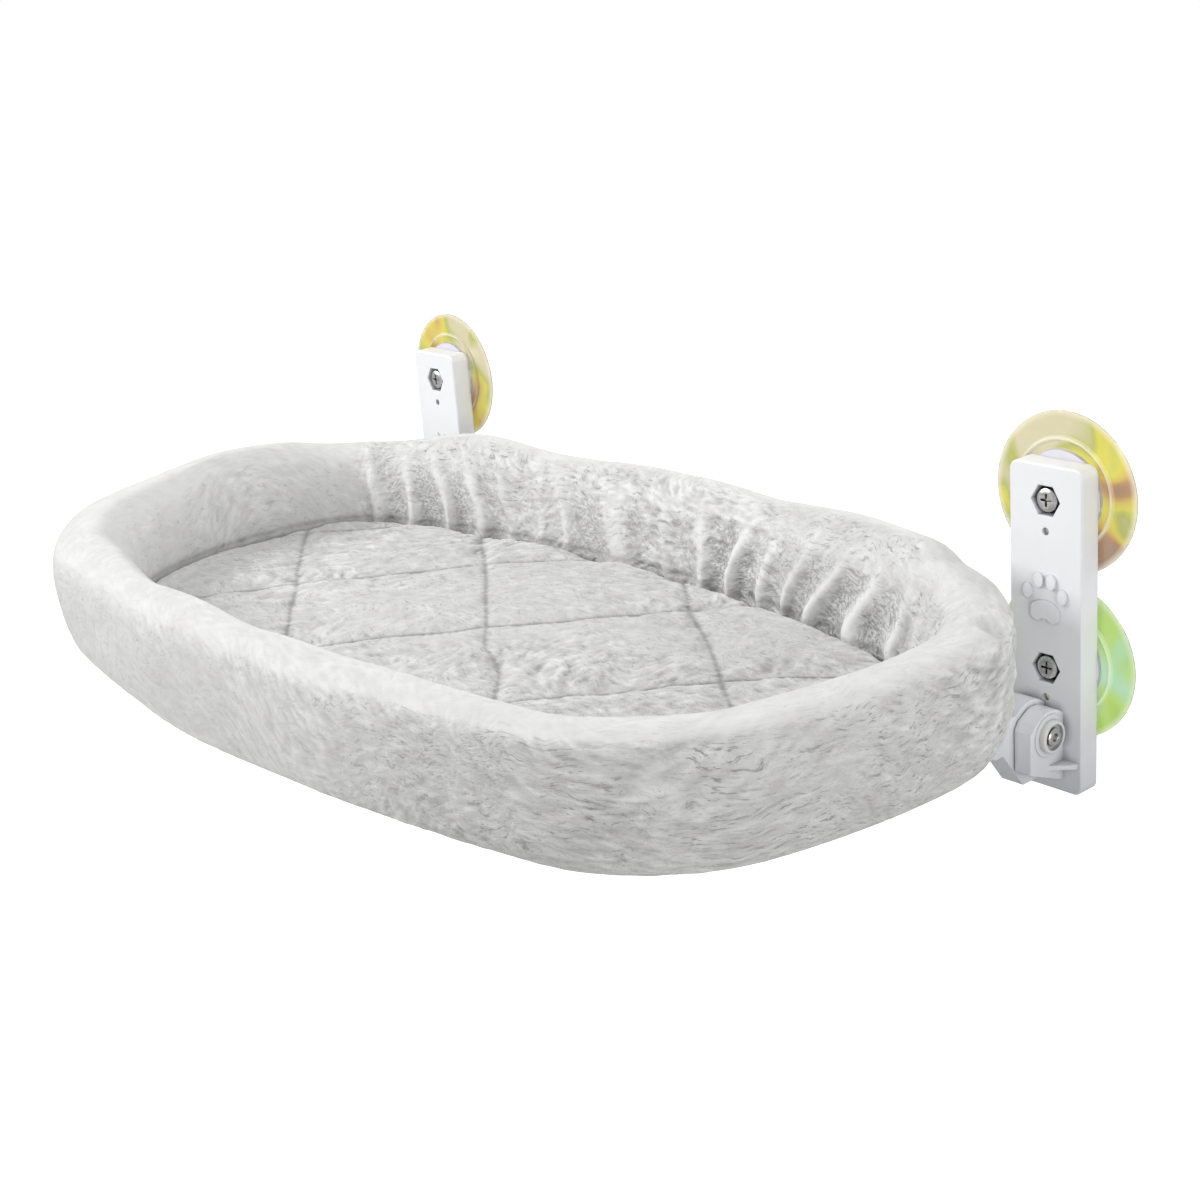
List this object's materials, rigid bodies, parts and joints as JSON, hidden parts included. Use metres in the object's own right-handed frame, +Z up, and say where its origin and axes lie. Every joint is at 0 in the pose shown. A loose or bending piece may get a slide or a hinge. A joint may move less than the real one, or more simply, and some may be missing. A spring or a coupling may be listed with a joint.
{
  "type": "window perch",
  "caption": "Oval plush pet perch on a steel tube frame, hinged on two white uprights that stick to a window with suction cups.",
  "frame": {"origin": "on the window glass, midway between the four suction cups", "axes": "+X along the window to the right seen from the room, +Y into the glass, +Z up; the bed stands out towards -Y"},
  "size_m": [0.5898, 0.332, 0.1865],
  "materials": {
    "white_plastic": "satin moulded ABS",
    "washer_plastic": "satin",
    "cup_pvc": "clear tinted soft PVC",
    "steel": "bright zinc",
    "black_steel": "black oxide",
    "brass": "turned",
    "black_tube": "powder coated",
    "board_cloth": "plain woven cloth over board",
    "webbing": "woven strap",
    "plush": "short pile faux fur"
  },
  "bodies": {
    "uprights": {"left_upright": "white_plastic", "right_upright": "white_plastic", "upper_right_cup": "cup_pvc", "lower_right_cup": "cup_pvc", "upper_left_cup": "cup_pvc", "lower_left_cup": "cup_pvc", "cup_inserts": "brass", "cup_screws": "steel", "screw_washers": "black_steel", "left_pivot_bolt": "steel", "right_pivot_bolt": "steel", "left_pivot_washer": "washer_plastic", "right_pivot_washer": "washer_plastic", "pivot_nuts": "steel"},
    "bed": {"left_arm": "white_plastic", "right_arm": "white_plastic", "left_leg_tube": "black_tube", "right_leg_tube": "black_tube", "rear_tube": "black_tube", "front_spigot": "steel", "frame_screws": "steel", "base_board": "board_cloth", "frame_straps": "webbing", "bolster": "plush", "floor_pad": "plush"}
  },
  "joints": [
    {"name": "bed_fold", "type": "hinge", "parent": "uprights", "child": "bed", "pos_m": [0, -0.027, -0.071], "axis": [-1, 0, 0], "range_deg": [0, 17]}
  ]
}
